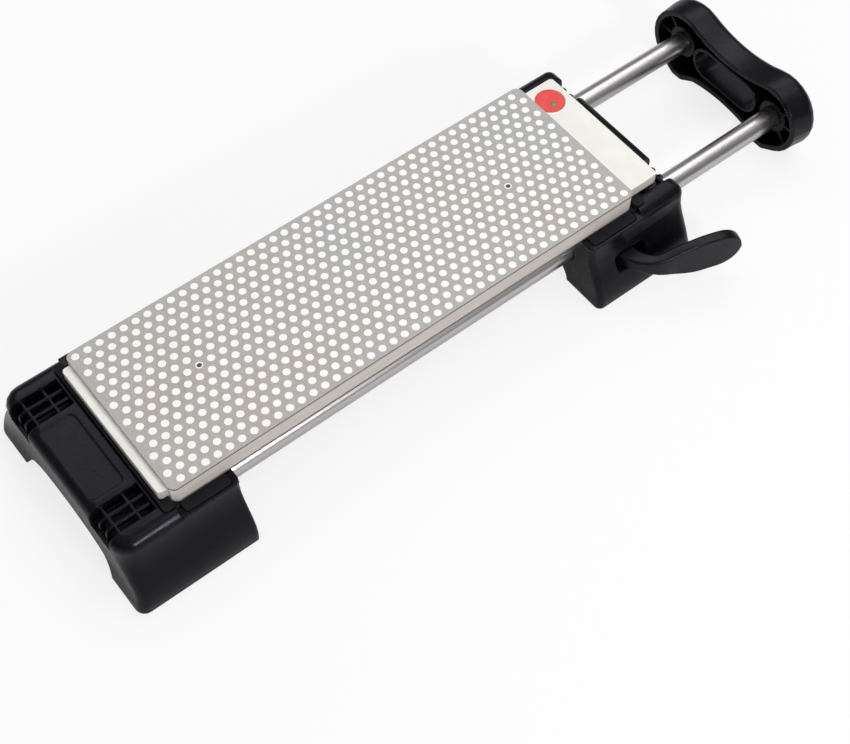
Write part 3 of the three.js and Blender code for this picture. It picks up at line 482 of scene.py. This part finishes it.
def turned(name, items, sign):
    """Small round forms, each a row of rings around (x, y), closed at both ends."""
    verts = []
    faces = []
    count = CIRCLE_STEPS
    for x, y, profile in items:
        first = len(verts)
        for radius, z in profile:
            verts += [(px, py, z) for px, py in circle(x, y, radius)]
        for ring in range(len(profile) - 1):
            for i in range(count):
                a = first + ring * count + i
                b = first + ring * count + (i + 1) % count
                face = (a, b, b + count, a + count)
                faces.append(face if sign > 0 else face[::-1])
        last = first + (len(profile) - 1) * count
        cap = tuple(range(last, last + count))
        base = tuple(range(first, first + count))[::-1]
        faces += (base, cap) if sign > 0 else (base[::-1], cap[::-1])
    obj = add_mesh(name, verts, faces)
    soften(obj)
    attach(obj, "stone")
    return obj


def profile_at(rings, top, sign):
    return [(radius * MM, top - sign * drop * MM) for radius, drop in rings]


def dots(name, top, sign):
    items = []
    for row, n, x, y in dot_places():
        rings = DOT_RINGS + PIN_HOLE if (row, n) in PIN_DOTS else DOT_RINGS
        items.append((x, y, profile_at(rings, top, sign)))
    obj = turned(name, items, sign)
    return obj


# Dark plugs at the bottom of the two pin holes: painted shade of the holes' depth
def shade_plugs(name, top, sign):
    places = [(x, y) for row, n, x, y in dot_places() if (row, n) in PIN_DOTS]
    obj = turned(name, [(x, y, profile_at(SHADE_PLUG, top, sign)) for x, y in places], sign)
    return obj


def well_walls(name, node, body, side, start):
    """Two walls along X, measured inward from the block's end on the given side."""
    low, high = (Vector(corner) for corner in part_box(node))
    end = high.x if side > 0 else low.x
    middle = (low.y + high.y) / 2
    near, far = sorted((end - side * start, end - side * WELL_WALL_END))
    verts = []
    faces = []
    for sign in (-1, 1):
        left, right = sorted(middle + sign * y for y in WELL_WALL_Y)
        outline = rounded_outline(
            Vector((near, left, 0)), Vector((far, right, 0)),
            WELL_WALL_CORNER, WELL_WALL_CORNER_STEPS,
        )
        first, count = len(verts), len(outline)
        for z in WELL_WALL_Z:
            verts += [(x, y, z) for x, y in outline]
        for i in range(count):
            a, b = first + i, first + (i + 1) % count
            faces.append((a, b, b + count, a + count))
        faces.append(tuple(range(first, first + count))[::-1])
        faces.append(tuple(range(first + count, first + 2 * count)))
    obj = add_mesh(name, verts, faces)
    soften(obj)
    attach(obj, body)
    return obj


# Stage and light
def glow_share(tree, seen, mirrored):
    """The share of the pale look, by the kind of ray that meets it."""
    path = tree.nodes.new("ShaderNodeLightPath")
    shares = {
        "Is Camera Ray": seen,
        "Is Glossy Ray": mirrored,
        "Is Transmission Ray": mirrored,
    }
    total = None
    for name, share in shares.items():
        part = tree.nodes.new("ShaderNodeMath")
        part.operation = "MULTIPLY_ADD"
        part.inputs[1].default_value = share
        part.inputs[2].default_value = 0.0
        tree.links.new(path.outputs[name], part.inputs[0])
        if total:
            tree.links.new(total, part.inputs[2])
        total = part.outputs[0]
    return total


def show(tree, output, lit, pale, share):
    """Send the lit shader to the output, with a share of the pale one."""
    out = tree.nodes.new(output)
    both = tree.nodes.new("ShaderNodeMixShader")
    for source, socket in zip((share, lit.outputs[0], pale.outputs[0]), both.inputs):
        tree.links.new(source, socket)
    tree.links.new(both.outputs[0], out.inputs["Surface"])


def grey(level):
    return (level, level, level, 1.0)


def add_stage():
    half = FLOOR_HALF
    corners = [(-half, -half, 0), (half, -half, 0), (half, half, 0), (-half, half, 0)]
    floor = add_mesh("floor", corners, [(0, 1, 2, 3)])
    floor.location.z = -FLOOR_DROP
    material = bpy.data.materials.new("floor")
    material.use_nodes = True
    tree = material.node_tree
    tree.nodes.clear()
    diffuse = tree.nodes.new("ShaderNodeBsdfDiffuse")
    diffuse.inputs["Color"].default_value = grey(FLOOR_GREY)
    glow = tree.nodes.new("ShaderNodeEmission")
    share = glow_share(tree, FLOOR_SEEN, FLOOR_MIRRORED)
    show(tree, "ShaderNodeOutputMaterial", diffuse, glow, share)
    dress(floor, material)


def add_world():
    world = bpy.data.worlds.new("studio")
    scene.world = world
    world.use_nodes = True
    tree = world.node_tree
    tree.nodes.clear()
    place = tree.nodes.new("ShaderNodeTexCoord")
    parts = tree.nodes.new("ShaderNodeSeparateXYZ")
    ramp = tree.nodes.new("ShaderNodeValToRGB")
    set_stops(ramp, [(at, (level, level, level)) for at, level in SKY])
    sky = tree.nodes.new("ShaderNodeBackground")
    sky.inputs["Strength"].default_value = SKY_STRENGTH
    tree.links.new(place.outputs["Generated"], parts.inputs[0])
    tree.links.new(parts.outputs["Z"], ramp.inputs["Fac"])
    tree.links.new(ramp.outputs["Color"], sky.inputs["Color"])
    pale = tree.nodes.new("ShaderNodeBackground")
    pale.inputs["Color"].default_value = grey(BACKDROP_GREY)
    share = glow_share(tree, BACKDROP_SEEN, BACKDROP_MIRRORED)
    show(tree, "ShaderNodeOutputWorld", sky, pale, share)


def add_light(name, place, size, power):
    data = bpy.data.lights.new(name, "AREA")
    data.shape = "RECTANGLE"
    data.size, data.size_y = size
    data.energy = power
    lamp = bpy.data.objects.new(name, data)
    scene.collection.objects.link(lamp)
    lamp.location = place
    lamp.rotation_euler = (-Vector(place)).to_track_quat("-Z", "Y").to_euler()


add_camera()
add_stage()
add_world()
for lamp in LAMPS:
    add_light(*lamp)

BLACK = moulded_black()
RUBBER = soft_black()
ABRASIVE = abrasive_steel()
WHITE = white_plastic(
    "white_plastic",
    low=(0.80, 0.775, 0.73),
    high=(0.86, 0.84, 0.80),
    # Darker beige of the long sides: painted shade
    sides=((0.45, 0.405, 0.38), (0.55, 0.505, 0.475)),
)
DOT_WHITE = white_plastic("dot_white", low=(0.91, 0.90, 0.88), high=(0.95, 0.94, 0.92))
CHROME = chrome()
STEEL = plain_steel()
RED = tinted("red_plastic", low=(0.70, 0.045, 0.045), high=(0.80, 0.062, 0.058))
GREEN = tinted("green_plastic", low=(0.08, 0.32, 0.13), high=(0.11, 0.42, 0.17))
# Dark olive for the plugs in the pin holes: painted shade
HOLE_SHADE = tinted("hole_shade", low=(0.030, 0.030, 0.018), high=(0.060, 0.057, 0.036))

# Material, width of the bevel in mm and nodes
FINISHES = (
    (BLACK, 0.25, ("fixed_block", "sliding_block")),
    (BLACK, 0.18, ("handle",)),
    (BLACK, 0.5, ("lever",)),
    (RUBBER, 0.15, ("fixed_mat", "sliding_mat")),
    (RUBBER, 0.3, (
        "fixed_stop", "sliding_stop",
        "fixed_foot_near", "fixed_foot_far",
        "sliding_foot_near", "sliding_foot_far",
        "handle_foot_near", "handle_foot_far",
    )),
    (CHROME, 0.0, ("rail_near", "rail_far")),
    (STEEL, 0.2, (
        "fixed_rail_screw_near", "fixed_rail_screw_far",
        "handle_screw_near", "handle_screw_far",
    )),
    (STEEL, 0.0, ("lever_pin", "lever_spring")),
    (WHITE, 0.35, ("stone_core",)),
    (RED, 0.1, ("grade_mark_top",)),
    (GREEN, 0.1, ("grade_mark_bottom",)),
)
for material, width, names in FINISHES:
    for name in names:
        dress(NODES[name], material)
        soften(NODES[name], width * MM)

for plate in (
    perforated("top_plate_perforated", "top_plate", PLATE_LOW, PLATE_HIGH),
    perforated("bottom_plate_perforated", "bottom_plate", UNDER_LOW, UNDER_HIGH),
):
    dress(plate, ABRASIVE)
for group in (dots("top_dots", PLATE_HIGH.z, 1), dots("bottom_dots", UNDER_LOW.z, -1)):
    dress(group, DOT_WHITE)
for group in (shade_plugs("top_shade_plugs", PLATE_HIGH.z, 1), shade_plugs("bottom_shade_plugs", UNDER_LOW.z, -1)):
    dress(group, HOLE_SHADE)
# Black walls in the wells: a dark thing put where the hollow blocks have only shade
for walls in (
    well_walls("fixed_well_walls", "fixed_block", "base", -1, FIXED_WELL_START),
    well_walls("sliding_well_walls", "sliding_block", "slider", 1, SLIDING_WELL_START),
):
    dress(walls, BLACK)
